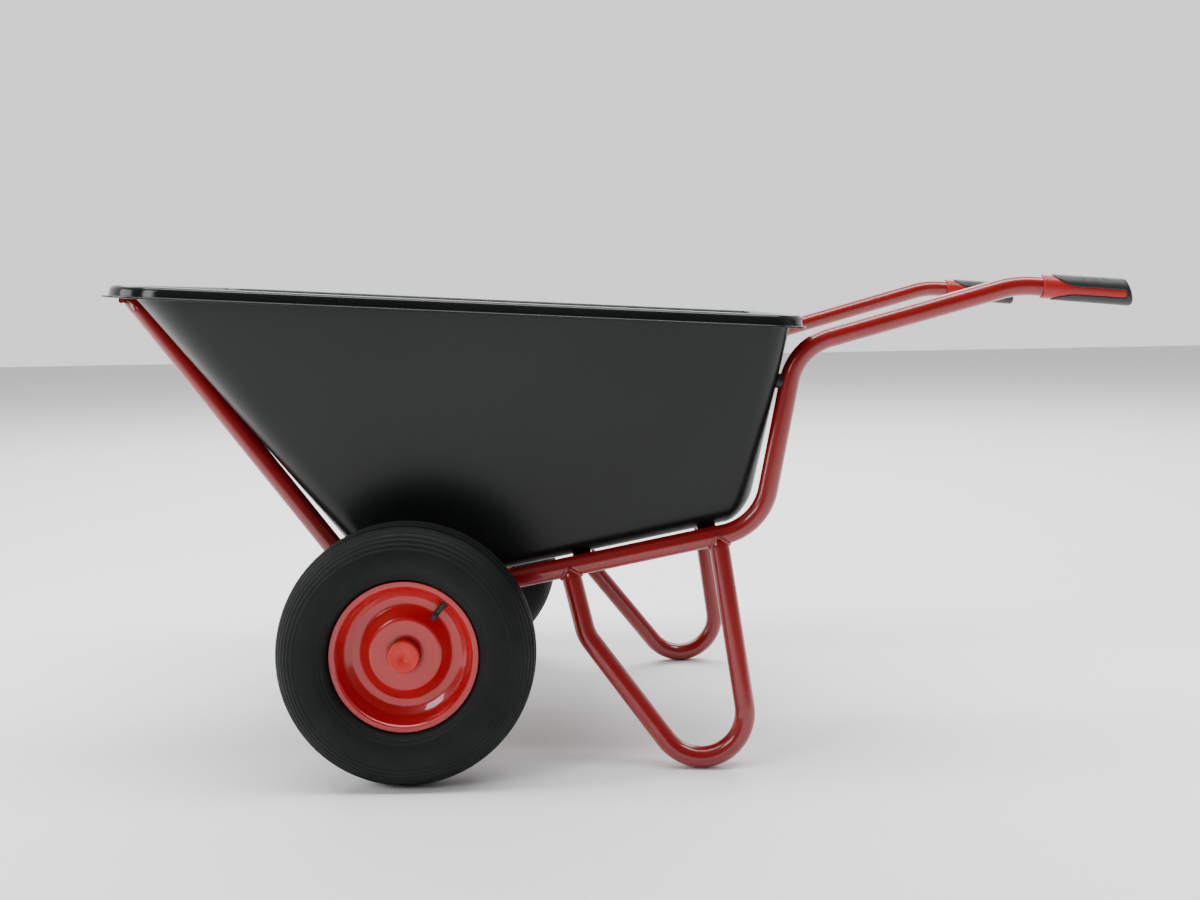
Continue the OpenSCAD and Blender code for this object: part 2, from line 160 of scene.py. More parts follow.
NOSE_END = CORNER - heading(-FRONT_SLOPE) * FRONT_L
RISER_FOOT = CORNER + heading(BASE_SLOPE) * BASE_L
RISER_TOP = RISER_FOOT + heading(RISER_SLOPE) * RISER_L
HANDLE_END = RISER_TOP + heading(HANDLE_SLOPE) * HANDLE_L
TUBE_END = HANDLE_END + heading(-GRIP_SLOPE) * GRIP_TUBE_L

FLARE = math.radians(PLAN_FLARE)
ALONG = Vector((math.cos(FLARE), -math.sin(FLARE), 0))
UP = Vector((0, 0, 1))
OUT = Vector((-math.sin(FLARE), -math.cos(FLARE), 0))
PLANE_ORIGIN = Vector((0, -HALF_SPAN, 0))


def in_tube_plane(p):
    """A point of the left side tube's plane, given as [x, z]."""
    return PLANE_ORIGIN + ALONG * float(p[0]) + UP * float(p[1])


BASE_DIR = (ALONG * math.cos(math.radians(BASE_SLOPE)) + UP * math.sin(math.radians(BASE_SLOPE)))
BASE_NORMAL = (UP * math.cos(math.radians(BASE_SLOPE)) - ALONG * math.sin(math.radians(BASE_SLOPE)))
SPLAY = math.radians(LEG_SPLAY)
LEG_DOWN = -BASE_NORMAL * math.cos(SPLAY) + OUT * math.sin(SPLAY)
LEG_NORMAL = BASE_DIR.cross(-LEG_DOWN).normalized()


def in_leg_plane(p):
    """A point of the left leg's plane: x along the base tube, y square to it."""
    return in_tube_plane(CORNER) + BASE_DIR * float(p[0]) - LEG_DOWN * float(p[1])


# ---------------------------------------------------------------- mesh building

def make_piece(name, verts, faces, body, slot, replaces=(), side=1):
    """Adds a mesh that rides on a body. side -1 makes the mirror image across Y = 0."""
    verts = np.array([tuple(v) for v in verts], float)
    if side < 0:
        verts[:, 1] *= -1
        faces = [tuple(reversed(f)) for f in faces]
    mesh = bpy.data.meshes.new(name)
    mesh.from_pydata(verts.tolist(), [], [tuple(f) for f in faces])
    mesh.validate()
    mesh.update()
    mesh.shade_smooth()
    mesh.materials.append(MATERIALS[slot])
    piece = bpy.data.objects.new(name, mesh)
    bpy.context.scene.collection.objects.link(piece)
    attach(piece, body)
    if replaces:
        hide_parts(*replaces)


def grid_faces(rows, columns, close_rows=False):
    """Quads of a grid of closed rings, whose vertex (i, j) has index i * columns + j."""
    faces = []
    for i in range(rows if close_rows else rows - 1):
        for j in range(columns):
            a, b = i, (i + 1) % rows
            c, d = j, (j + 1) % columns
            faces.append((a * columns + c, a * columns + d, b * columns + d, b * columns + c))
    return faces


def skin(rings, flip=False):
    """Vertices and faces of a closed skin over rings of equal length, with a face at each end."""
    columns = len(rings[0])
    verts = [v for ring in rings for v in ring]
    faces = grid_faces(len(rings), columns)
    last = len(verts) - columns
    faces.append(tuple(reversed(range(columns))))
    faces.append(tuple(range(last, last + columns)))
    return verts, [tuple(reversed(f)) for f in faces] if flip else faces


def subdivided(points, longest):
    """The polyline with no step longer than the given length."""
    out = [points[0]]
    for a, b in zip(points[:-1], points[1:]):
        n = max(1, math.ceil(float(np.linalg.norm(np.array(b) - np.array(a))) / longest))
        out += [a + (b - a) * (k / n) for k in range(1, n + 1)]
    return out


def tube_mesh(path, normal):
    """An open-ended tube along a plane path, with its bore shown at both ends."""
    segments = 40
    path = [Vector(p) for p in path]
    rings = []
    for i, p in enumerate(path):
        ahead = path[min(i + 1, len(path) - 1)] - path[max(i - 1, 0)]
        across = ahead.normalized().cross(normal)
        rings.append([p + (normal * math.cos(t) + across * math.sin(t)) * TUBE_R
                      for t in (2 * math.pi * k / segments for k in range(segments))])

    def bore(i, step):
        p, q = path[i], path[i + step]
        inward = (q - p).normalized()
        scale = (TUBE_R - TUBE_WALL) / TUBE_R
        edge = [p + (v - p) * scale for v in rings[0 if i == 0 else -1]]
        deep = [v + inward * BORE_SHOWN for v in edge]
        return edge, deep

    edge0, deep0 = bore(0, 1)
    edge1, deep1 = bore(len(path) - 1, -1)
    return skin([deep0, edge0] + rings + [edge1, deep1], flip=True)


def lathe(profile, centre, segments):
    """A closed outline of [radius, distance outward] turned about the axle's line, left side."""
    profile = np.array(profile, float)
    angles = np.linspace(0, 2 * math.pi, segments, endpoint=False)
    verts = []
    for angle in angles:
        for r, y in profile:
            verts.append((centre[0] + r * math.cos(angle), centre[1] - y,
                          centre[2] + r * math.sin(angle)))
    faces = grid_faces(segments, len(profile), close_rows=True)
    return verts, [tuple(reversed(f)) for f in faces]


# ---------------------------------------------------------------- materials

def principled(name, base, roughness, metallic=0.0, coat=0.0, coat_roughness=0.03,
               specular=0.5):
    material = bpy.data.materials.new(name)
    material.use_nodes = True
    shader = material.node_tree.nodes["Principled BSDF"]
    shader.inputs["Base Color"].default_value = (*base, 1)
    shader.inputs["Roughness"].default_value = roughness
    shader.inputs["Metallic"].default_value = metallic
    shader.inputs["Coat Weight"].default_value = coat
    shader.inputs["Coat Roughness"].default_value = coat_roughness
    shader.inputs["Specular IOR Level"].default_value = specular
    return material, shader


def noise_node(tree, scale, detail, stretch=None):
    where = tree.nodes.new("ShaderNodeTexCoord")
    texture = tree.nodes.new("ShaderNodeTexNoise")
    texture.inputs["Scale"].default_value = scale
    texture.inputs["Detail"].default_value = detail
    if stretch:
        mapping = tree.nodes.new("ShaderNodeMapping")
        mapping.inputs["Scale"].default_value = stretch
        tree.links.new(where.outputs["Object"], mapping.inputs["Vector"])
        tree.links.new(mapping.outputs["Vector"], texture.inputs["Vector"])
    else:
        tree.links.new(where.outputs["Object"], texture.inputs["Vector"])
    return texture


def vary_colour(tree, shader, first, second, scale, detail=4.0):
    """Base colour that drifts between two colours."""
    texture = noise_node(tree, scale, detail)
    ramp = tree.nodes.new("ShaderNodeValToRGB")
    ramp.color_ramp.elements[0].position = 0.35
    ramp.color_ramp.elements[1].position = 0.65
    ramp.color_ramp.elements[0].color = (*first, 1)
    ramp.color_ramp.elements[1].color = (*second, 1)
    tree.links.new(texture.outputs["Fac"], ramp.inputs["Fac"])
    tree.links.new(ramp.outputs["Color"], shader.inputs["Base Color"])


def vary_roughness(tree, shader, low, high, scale, detail=5.0):
    texture = noise_node(tree, scale, detail)
    span = tree.nodes.new("ShaderNodeMapRange")
    span.inputs["From Min"].default_value = 0.3
    span.inputs["From Max"].default_value = 0.7
    span.inputs["To Min"].default_value = low
    span.inputs["To Max"].default_value = high
    tree.links.new(texture.outputs["Fac"], span.inputs["Value"])
    tree.links.new(span.outputs["Result"], shader.inputs["Roughness"])


def add_bump(tree, shader, scale, height, detail=3.0, stretch=None, coat=False):
    """Surface relief of the given height in metres."""
    texture = noise_node(tree, scale, detail, stretch=stretch)
    bump = tree.nodes.new("ShaderNodeBump")
    bump.inputs["Strength"].default_value = 1.0
    bump.inputs["Distance"].default_value = height
    tree.links.new(texture.outputs["Fac"], bump.inputs["Height"])
    tree.links.new(bump.outputs["Normal"], shader.inputs["Normal"])
    if coat:
        tree.links.new(bump.outputs["Normal"], shader.inputs["Coat Normal"])


def gloss_paint(name, dark, light):
    """Stove enamel on steel: a clear gloss over red, with faint orange peel."""
    material, shader = principled(name, light, 0.34, coat=0.7, coat_roughness=0.05,
                                  specular=0.3)
    tree = material.node_tree
    vary_colour(tree, shader, dark, light, 5.0, 2.0)
    vary_roughness(tree, shader, 0.30, 0.38, 12.0, 2.0)
    add_bump(tree, shader, 320.0, 0.00003, 1.0, coat=True)
    return material


def tray_plastic():
    """Semi-gloss black polypropylene with a fine grain, glossier above the rim's underside."""
    material, shader = principled("tray_plastic", (0.006, 0.0075, 0.007), 0.34, specular=0.25)
    tree = material.node_tree
    vary_colour(tree, shader, (0.005, 0.0065, 0.006), (0.008, 0.010, 0.0095), 3.0, 2.0)
    add_bump(tree, shader, 1100.0, 0.00003, 2.0)
    where = tree.nodes.new("ShaderNodeNewGeometry")
    height = tree.nodes.new("ShaderNodeVectorMath")
    height.operation = "DOT_PRODUCT"
    height.inputs[1].default_value = (math.sin(math.radians(RIM_SLOPE)), 0,
                                      math.cos(math.radians(RIM_SLOPE)))
    tree.links.new(where.outputs["Position"], height.inputs[0])
    grade = tree.nodes.new("ShaderNodeMapRange")
    level = RIM_Z * math.cos(math.radians(RIM_SLOPE))
    grade.inputs["From Min"].default_value = level - 0.004
    grade.inputs["From Max"].default_value = level + 0.002
    grade.inputs["To Min"].default_value = 0.33
    grade.inputs["To Max"].default_value = 0.12
    tree.links.new(height.outputs["Value"], grade.inputs["Value"])
    tree.links.new(grade.outputs["Result"], shader.inputs["Roughness"])
    return material


def tyre_rubber():
    """Matt black rubber with a faint dusty bloom."""
    material, shader = principled("tyre_rubber", (0.004, 0.006, 0.005), 0.55, specular=0.17)
    tree = material.node_tree
    vary_colour(tree, shader, (0.003, 0.0045, 0.004), (0.006, 0.0085, 0.0075), 9.0, 4.0)
    vary_roughness(tree, shader, 0.48, 0.60, 30.0, 2.0)
    add_bump(tree, shader, 1300.0, 0.00006, 3.0)
    return material


def soft_rubber(name, base):
    material, shader = principled(name, base, 0.5, specular=0.4)
    tree = material.node_tree
    vary_colour(tree, shader, tuple(0.8 * c for c in base), tuple(1.2 * c for c in base), 40.0)
    vary_roughness(tree, shader, 0.44, 0.54, 60.0, 2.0)
    add_bump(tree, shader, 2000.0, 0.00006, 3.0)
    return material


def moulded(name, base, roughness):
    material, shader = principled(name, base, roughness, specular=0.4)
    tree = material.node_tree
    vary_colour(tree, shader, tuple(0.9 * c for c in base), base, 30.0)
    vary_roughness(tree, shader, roughness - 0.04, roughness + 0.04, 50.0, 2.0)
    add_bump(tree, shader, 1500.0, 0.00003, 3.0)
    return material


def zinc():
    """Zinc-plated steel, faintly mottled, with turning marks."""
    material, shader = principled("zinc_steel", (0.62, 0.63, 0.62), 0.32, metallic=1.0)
    tree = material.node_tree
    vary_colour(tree, shader, (0.50, 0.51, 0.50), (0.70, 0.70, 0.68), 120.0, 6.0)
    vary_roughness(tree, shader, 0.25, 0.45, 200.0)
    add_bump(tree, shader, 700.0, 0.00003, 2.0, stretch=(1, 14, 1))
    return material


MATERIALS = {
    "frame_paint": gloss_paint("frame_paint", (0.19, 0.0015, 0.002), (0.23, 0.002, 0.003)),
    "rim_paint": gloss_paint("rim_paint", (0.36, 0.001, 0.004), (0.42, 0.002, 0.005)),
    "tray_plastic": tray_plastic(),
    "tyre_rubber": tyre_rubber(),
    "black_rubber": soft_rubber("black_rubber", (0.008, 0.008, 0.009)),
    "grip_black": soft_rubber("grip_black", (0.012, 0.014, 0.015)),
    "grip_red": moulded("grip_red", (0.36, 0.009, 0.010), 0.36),
    "cap_red": moulded("cap_red", (0.56, 0.018, 0.013), 0.42),
    "cap_black": moulded("cap_black", (0.010, 0.010, 0.010), 0.40),
    "nylon": moulded("nylon", (0.78, 0.78, 0.73), 0.38),
    "zinc_steel": zinc(),
}


# ---------------------------------------------------------------- camera, light and floor

def add_camera():
    """Long side view from a little above the rim, with the view shifted down to the object."""
    yaw, pitch, roll = -0.0027, 0.0162, -0.0183
    ahead = Vector((math.sin(yaw) * math.cos(pitch), math.cos(yaw) * math.cos(pitch),
                    math.sin(pitch)))
    right = Vector((math.cos(yaw), -math.sin(yaw), 0))
    up = right.cross(ahead)
    right, up = (right * math.cos(roll) + up * math.sin(roll),
                 up * math.cos(roll) - right * math.sin(roll))
    camera = bpy.data.objects.new("camera", bpy.data.cameras.new("camera"))
    bpy.context.scene.collection.objects.link(camera)
    camera.data.sensor_width = 36
    camera.data.lens = 39.053
    camera.data.shift_x = -0.00453
    camera.data.shift_y = -0.14471
    turn = Matrix((right, up, -ahead)).transposed().to_4x4()
    camera.matrix_world = Matrix.Translation((-0.00426, -2.35279, 0.73728)) @ turn
    bpy.context.scene.camera = camera


def area_light(name, place, target, size, power):
    light = bpy.data.lights.new(name, "AREA")
    light.shape = "RECTANGLE"
    light.size, light.size_y = size
    light.energy = power
    lamp = bpy.data.objects.new(name, light)
    bpy.context.scene.collection.objects.link(lamp)
    lamp.location = place
    lamp.rotation_euler = (Vector(target) - Vector(place)).to_track_quat("-Z", "Y").to_euler()


def add_studio():
    """White surround, dimmer on the camera's side so that glossy black stays black."""
    world = bpy.data.worlds.new("studio")
    bpy.context.scene.world = world
    world.use_nodes = True
    tree = world.node_tree
    sky = tree.nodes["Background"]
    sky.inputs["Color"].default_value = (1, 1, 1, 1)
    where = tree.nodes.new("ShaderNodeTexCoord")
    parts = tree.nodes.new("ShaderNodeSeparateXYZ")
    grade = tree.nodes.new("ShaderNodeMapRange")
    grade.inputs["From Min"].default_value = -0.5
    grade.inputs["From Max"].default_value = 0.5
    grade.inputs["To Min"].default_value = 0.14
    grade.inputs["To Max"].default_value = 1.25
    tree.links.new(where.outputs["Generated"], parts.inputs["Vector"])
    tree.links.new(parts.outputs["Y"], grade.inputs["Value"])
    tree.links.new(grade.outputs["Result"], sky.inputs["Strength"])
    area_light("top_box", (0.0, -0.5, 3.2), (0, 0, 0.3), (4.5, 1.0), 150)
    area_light("front_box", (-2.6, -2.6, 2.2), (-0.2, 0, 0.4), (0.9, 1.4), 45)
    area_light("side_box", (-3.4, -0.6, 1.2), (0, 0, 0.4), (1.2, 1.6), 35)
    area_light("floor_wash", (0, 3.5, 4.0), (0, 2.5, 0), (8.0, 3.0), 420)
    floor = bpy.data.meshes.new("floor")
    half = 14.0
    floor.from_pydata([(-half, -half, 0), (half, -half, 0), (half, half, 0), (-half, half, 0)],
                      [], [(0, 1, 2, 3)])
    ground = bpy.data.objects.new("floor", floor)
    bpy.context.scene.collection.objects.link(ground)
    material, shader = principled("floor", (0.93, 0.93, 0.93), 0.75, specular=0.2)
    vary_roughness(material.node_tree, shader, 0.7, 0.8, 3.0)
    floor.materials.append(material)


# ---------------------------------------------------------------- frame tubes and welds

def side_tube_path():
    corners = [NOSE_END, CORNER, RISER_FOOT, RISER_TOP, HANDLE_END, TUBE_END]
    radii = [0, BEND_R, BEND_R, BEND_R, GRIP_BEND_R, 0]
    return [in_tube_plane(p) for p in subdivided(list(rounded(corners, radii, 20)), 0.03)]


def leg_corners():
    """The leg's corner points and the headings of its two arms, in the leg's plane."""
    slope = math.radians(BASE_SLOPE)
    reach = FOOT_R * math.hypot(math.sin(slope), math.cos(slope) * math.cos(SPLAY))
    drop = (TUBE_R + reach - CORNER[1] - FOOT_AT * math.sin(slope)) / (
        math.cos(slope) * math.cos(SPLAY))
    foot = np.array([FOOT_AT, drop])
    knee = np.array([LEG_FRONT + KNEE_DROP * math.tan(math.radians(LEG_FRONT_WAY - 90)), -KNEE_DROP])
    to_foot = foot - knee
    arm = math.degrees(math.atan2(to_foot[1], to_foot[0])
                       - math.asin(FOOT_R / np.linalg.norm(to_foot)))
    top = np.array([LEG_REAR, 0.0])
    to_top = top - foot
    rear = math.degrees(math.atan2(to_top[1], to_top[0])
                        + math.asin(FOOT_R / np.linalg.norm(to_top)))
    front_top = knee + heading(LEG_FRONT_WAY) * KNEE_DROP
    return [front_top, knee, meet(knee, arm, top, rear), top], rear


def weld_bead(leg_point, leg_dir, main_point, main_dir):
    """A rippled bead along the line where a leg tube meets a main tube."""
    bead_r, ripple, ripples = 0.0030, 0.16, 24
    steps, sides = 96, 10
    helper = main_dir.cross(leg_dir).normalized()
    e1 = leg_dir.cross(helper).normalized()
    curve = []
    for k in range(steps):
        t = 2 * math.pi * k / steps
        out = e1 * math.cos(t) + helper * math.sin(t)
        p = leg_point + out * TUBE_R - main_point
        flat = p - main_dir * p.dot(main_dir)
        along = leg_dir - main_dir * leg_dir.dot(main_dir)
        a, b, c = along.dot(along), 2 * flat.dot(along), flat.dot(flat) - TUBE_R ** 2
        s = (-b - math.sqrt(max(0.0, b * b - 4 * a * c))) / (2 * a)
        curve.append((main_point + p + leg_dir * s, out))
    verts = []
    for k, (p, out) in enumerate(curve):
        ahead = (curve[(k + 1) % steps][0] - curve[k - 1][0]).normalized()
        across = ahead.cross(out).normalized()
        size = bead_r * (1 + ripple * math.sin(k * 2 * math.pi * ripples / steps))
        for m in range(sides):
            t = 2 * math.pi * m / sides
            verts.append(p + (out * math.cos(t) + across * math.sin(t)) * size)
    return verts, grid_faces(steps, sides, close_rows=True)


def add_frame():
    corners, rear = leg_corners()
    main_point = in_tube_plane(CORNER)
    for name, side in SIDES.items():
        verts, faces = tube_mesh(side_tube_path(), OUT)
        make_piece(name + "_side_tube_look", verts, faces, "frame", "frame_paint",
                   [name + "_side_tube"], side)
        path = subdivided(list(rounded(corners, [0, KNEE_R, FOOT_R, 0], 28)), 0.02)
        verts, faces = tube_mesh([in_leg_plane(p) for p in path], LEG_NORMAL)
        make_piece(name + "_leg_look", verts, faces, "frame", "frame_paint",
                   [name + "_leg_loop"], side)
        for place, corner, way in (("front", corners[0], LEG_FRONT_WAY), ("rear", corners[3], rear)):
            up = (in_leg_plane(heading(way)) - in_leg_plane((0, 0))).normalized()
            verts, faces = weld_bead(in_leg_plane(corner), up, main_point, BASE_DIR)
            make_piece(f"{name}_{place}_weld", verts, faces, "frame", "frame_paint", (), side)


# ---------------------------------------------------------------- tray

def outline(x0, x1, half0, half1, r0, r1, per_corner=14, per_side=16):
    """Points round a rounded rectangle, the same number for each, with outward directions."""
    centres = [(x0 + r0, half0 - r0, r0, 90), (x0 + r0, -(half0 - r0), r0, 180),
               (x1 - r1, -(half1 - r1), r1, 270), (x1 - r1, half1 - r1, r1, 0)]
    points, outs = [], []
    for cx, cy, r, start in centres:
        for k in range(per_corner + 1):
            way = heading(start + 90 * k / per_corner)
            points.append(np.array([cx, cy]) + way * r)
            outs.append(way)
    loop, ways = [], []
    n = per_corner + 1
    for c in range(4):
        loop += points[c * n:(c + 1) * n]
        ways += outs[c * n:(c + 1) * n]
        a, b = points[(c + 1) * n - 1], points[((c + 1) * n) % (4 * n)]
        for k in range(1, per_side):
            loop.append(a + (b - a) * k / per_side)
            ways.append(outs[(c + 1) * n - 1])
    return np.array(loop), np.array(ways)


def in_base_frame(points, lift):
    slope = math.radians(BASE_SLOPE)
    x = CORNER[0] + points[:, 0] * math.cos(slope) - lift * math.sin(slope)
    z = CORNER[1] + points[:, 0] * math.sin(slope) + lift * math.cos(slope)
    return np.stack([x, points[:, 1], z], axis=1)


def in_rim_frame(points, lift):
    slope = math.radians(RIM_SLOPE)
    x = points[:, 0] * math.cos(slope) + lift * math.sin(slope)
    z = RIM_Z - points[:, 0] * math.sin(slope) + lift * math.cos(slope)
    return np.stack([x, points[:, 1], z], axis=1)


def tray_rings():
    """Rings of the tray's skin from the middle of its underside, over the rim, to its floor."""
    front_foot = CORNER + left_of(-FRONT_SLOPE) * FRONT_GAP
    floor_line = CORNER + left_of(BASE_SLOPE) * FLOOR_LIFT
    rear_line = RISER_FOOT + left_of(RISER_SLOPE) * REAR_GAP
    mouth_line = np.array([0, RIM_Z]) + left_of(-RIM_SLOPE) * MOUTH_LIFT
    along = heading(BASE_SLOPE)
    fold0 = float((meet(front_foot, -FRONT_SLOPE, floor_line, BASE_SLOPE) - CORNER) @ along)
    fold1 = float((meet(floor_line, BASE_SLOPE, rear_line, RISER_SLOPE) - CORNER) @ along)
    rim_way = heading(-RIM_SLOPE)
    mouth0 = float((meet(front_foot, -FRONT_SLOPE, mouth_line, -RIM_SLOPE) - mouth_line) @ rim_way)
    mouth1 = float((meet(rear_line, RISER_SLOPE, mouth_line, -RIM_SLOPE) - mouth_line) @ rim_way)
    lip0 = LIP_FRONT_X / math.cos(math.radians(RIM_SLOPE))
    lip1 = LIP_REAR_X / math.cos(math.radians(RIM_SLOPE))
    overhang = LIP_HALF - MOUTH_HALF

    mouth, _ = outline(mouth0, mouth1, MOUTH_HALF, MOUTH_HALF, MOUTH_FRONT_R, MOUTH_REAR_R)
    lip, _ = outline(lip0, lip1, LIP_HALF, LIP_HALF, LIP_FRONT_R, LIP_REAR_R)

    def tub(inset):
        """Rings from the floor's flat up to just under the mouth."""
        fold, outs = outline(fold0 + inset, fold1 - inset, FLOOR_HALF_FRONT - inset,
                             FLOOR_HALF_REAR - inset, FOLD_FRONT_R - inset,
                             FOLD_REAR_R - inset)
        lean = outs[:, 0] ** 2
        round_in = np.where(outs[:, 0] < 0, TURN_SIDE + (TURN_FRONT - TURN_SIDE) * lean,
                            TURN_SIDE + (TURN_REAR - TURN_SIDE) * lean)[:, None]
        corner = in_base_frame(fold, FLOOR_LIFT + inset)
        flat = in_base_frame(fold - outs * round_in, FLOOR_LIFT + inset)
        top = in_rim_frame(mouth + (mouth - lip) * (inset / overhang), MOUTH_LIFT)
        up = (top - corner) / np.linalg.norm(top - corner, axis=1)[:, None]
        raised = corner + up * round_in
        rings = [flat]
        for k in range(1, 11):
            f = k / 10
            rings.append((1 - f) ** 2 * flat + 2 * f * (1 - f) * corner + f * f * raised)
        for k in range(1, 14):
            rings.append(raised + (top - raised) * (k / 14))
        return rings

    section = rounded(
        [(-5, 14), (-5, 20), (23.5, 20), (26, 3), (35, 3), (35, 0), (22.5, 0), (20.8, 17),
         (0, 17), (0, 14)],
        [0, 6.5, 9, 1.6, 1.4, 1.4, 0.8, 6, 1.4, 0], 7)
    rolled = [in_rim_frame(mouth + (lip - mouth) * (d * MM / overhang), z * MM)
              for d, z in reversed(section)]
    return tub(0.0) + rolled + list(reversed(tub(TRAY_WALL)))


def add_tray():
    verts, faces = skin(tray_rings())
    make_piece("tray_look", verts, faces, "frame", "tray_plastic", ["tray"])


# ---------------------------------------------------------------- wheels

def tyre_outline():
    """Closed outline of the tyre, with rings on its walls and grooves round its tread."""
    half, middle = 0.0495, 0.150
    ridges = [(0.1215, 0.0012, 0.0009), (0.1265, 0.0010, 0.0006), (0.1660, 0.0012, 0.0008),
              (0.1725, 0.0012, 0.0008), (0.1785, 0.0012, 0.0009), (0.1840, 0.0012, 0.0009),
              (0.1890, 0.0011, 0.0009)]
    grooves = [(0.0, 0.0022, 0.0042), (0.0105, 0.0018, 0.0042), (0.0205, 0.0016, 0.0036),
               (0.0290, 0.0013, 0.0026)]

    def lifted(a):
        """Point of the section at angle a from the tread's middle."""
        c, s = math.cos(a), math.sin(a)
        bulge = Vector((math.copysign(abs(c) ** 0.88, c), math.copysign(abs(s) ** 0.94, s)))
        p = Vector((middle + half * bulge.x, 0.0499 * bulge.y))
        out = Vector((bulge.x, bulge.y)).normalized()
        if p.x < 0.1925:
            height = sum(h * math.exp(-((p.x - r) / w) ** 4) for r, w, h in ridges)
            return p + out * (height - 0.0009)
        depth = max(d * math.exp(-((abs(p.y) - y) / w) ** 6) for y, w, d in grooves)
        return p - out * depth

    arc = [lifted(math.radians(-128 + 256 * k / 420)) for k in range(421)]
    arc = [p for p in arc if abs(p.y) > 0.031 or p.x > middle]
    low = [(0.1065, -0.0165), (0.1065, -0.0245), (0.1140, -0.0252), (0.1165, -0.0285)]
    inner = [(0.112, 0.0165), (0.118, 0.0225), (0.150, 0.0415), (0.182, 0.029), (0.1915, 0.012),
             (0.1925, 0.0)]
    inner += [(r, -y) for r, y in reversed(inner[:-1])]
    return low + [tuple(p) for p in arc] + [(r, -y) for r, y in reversed(low)] + inner


def add_valve(name, side, centre):
    """Rubber valve stem with a ribbed cap, standing in from the rim's barrel to the hub."""
    turn = math.radians(VALVE_ANGLE)
    inward = Vector((-math.cos(turn), 0, -math.sin(turn)))
    across = Vector((-math.sin(turn), 0, math.cos(turn)))
    foot = centre + Vector((0, -VALVE_OUT, 0)) - inward * VALVE_FOOT_R

    def turned(piece, profile, slot, replaces, segments, ribbed=False):
        rings = []
        for radius, height in profile:
            ring = []
            for k in range(segments):
                t = 2 * math.pi * k / segments
                between = ribbed and k % 4 < 2 and RIBS_FROM < height < RIBS_TO
                r = radius * (1 - (0.05 if between else 0))
                ring.append(foot + inward * height + across * (r * math.cos(t))
                            + Vector((0, r * math.sin(t), 0)))
            rings.append(ring)
        verts, faces = skin(rings)
        make_piece(f"{name}_{piece}", verts, faces, name + "_wheel", slot, replaces, side)

    stem = rounded([(5.4, 0), (5.4, 12), (5.9, 12.6), (5.2, 15.5), (4.5, 18), (4.4, 32.5)],
                   [0, 0.3, 0.5, 2, 3, 0], 4) * MM
    turned("valve_stem_look", stem, "black_rubber", [name + "_valve_stem"], 40)
    cap = rounded([(4.6, 32), (5.0, 32.3), (5.0, 33.8), (4.8, 34.1), (4.9, 39.6), (4.2, 41.3),
                   (2.0, 41.5)], [0, 0.1, 0.1, 0.1, 1.2, 0.6, 0], 4) * MM
    turned("valve_cap_look", cap, "cap_black", [name + "_valve_cap"], 48, ribbed=True)


def add_wheel(name, side):
    low, high = (Vector(c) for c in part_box(name + "_tyre"))
    centre = (low + high) / 2
    centre.y = -abs(centre.y)

    def turned(piece, profile, slot, replaces, segments):
        verts, faces = lathe(profile, centre, segments)
        make_piece(f"{name}_{piece}", verts, faces, name + "_wheel", slot, replaces, side)

    turned("tyre_look", tyre_outline(), "tyre_rubber", [name + "_tyre"], 144)
    add_valve(name, side, centre)
    outer = rounded(
        [(28, 12.5), (28, 15), (54, 15), (71, -1), (84, -1), (95, 6), (101.5, 18), (103.5, 26),
         (106, 29), (114, 29.5), (114, 27), (107.5, 27), (105.8, 25), (103.8, 17), (96.5, 4),
         (85, -3.5), (70, -3.5), (53, 12.5)],
        [0, 0.8, 9, 9, 7, 14, 18, 3, 3, 1.2, 1.2, 2, 3, 18, 14, 9, 7, 9], 8, closed=True)
    turned("rim_outer_look", outer * MM, "rim_paint", [name + "_rim"], 144)
    inner = rounded(
        [(74, -3.6), (85, -3.6), (96.5, -8), (103.8, -17), (105.8, -25), (107.5, -27),
         (114, -27), (114, -29.5), (106, -29), (103.5, -26), (101.5, -18), (95, -10),
         (84, -6), (74, -6)],
        [0.8, 9, 14, 18, 3, 2, 1.2, 1.2, 3, 3, 18, 14, 9, 0.8], 7, closed=True)
    turned("rim_inner_look", inner * MM, "rim_paint", [], 144)
    hub = rounded([(25.5, -46), (28, -46), (28, 15.4), (25.5, 15.4)], [0.6, 0.8, 0.6, 0.6], 4, True)
    turned("hub_look", hub * MM, "rim_paint", [name + "_hub_tube"], 96)
    cap = rounded([(0.01, 28), (20, 28), (20, 8), (24, 8), (24, 32), (19.5, 32), (18.6, 31.2),
                   (0.01, 31.4)], [0, 1, 0.4, 0.4, 2.6, 0.5, 0.8, 0], 6, True)
    turned("hub_cap_look", cap * MM, "cap_red", [name + "_hub_cap"], 96)


# ---------------------------------------------------------------- grips

def grip_point(x, angle, extra):
    """A point of the left grip: x from the collar's front, angle round from straight out."""
    r = GRIP_R0 + (GRIP_R1 - GRIP_R0) * x / GRIP_L + extra
    way = heading(-GRIP_SLOPE)
    centre = in_tube_plane(TUBE_END + way * (GRIP_PAST_TUBE - GRIP_L + x))
    up = left_of(-GRIP_SLOPE)
    lift = ALONG * float(up[0]) + UP * float(up[1])
    return centre + OUT * (r * math.cos(angle)) + lift * (r * math.sin(angle))


def grip_end(angle):
    """Where the grip ends: a slanted end, longer below."""
    return GRIP_L - GRIP_END_SLANT * (1 + math.sin(angle)) / 2


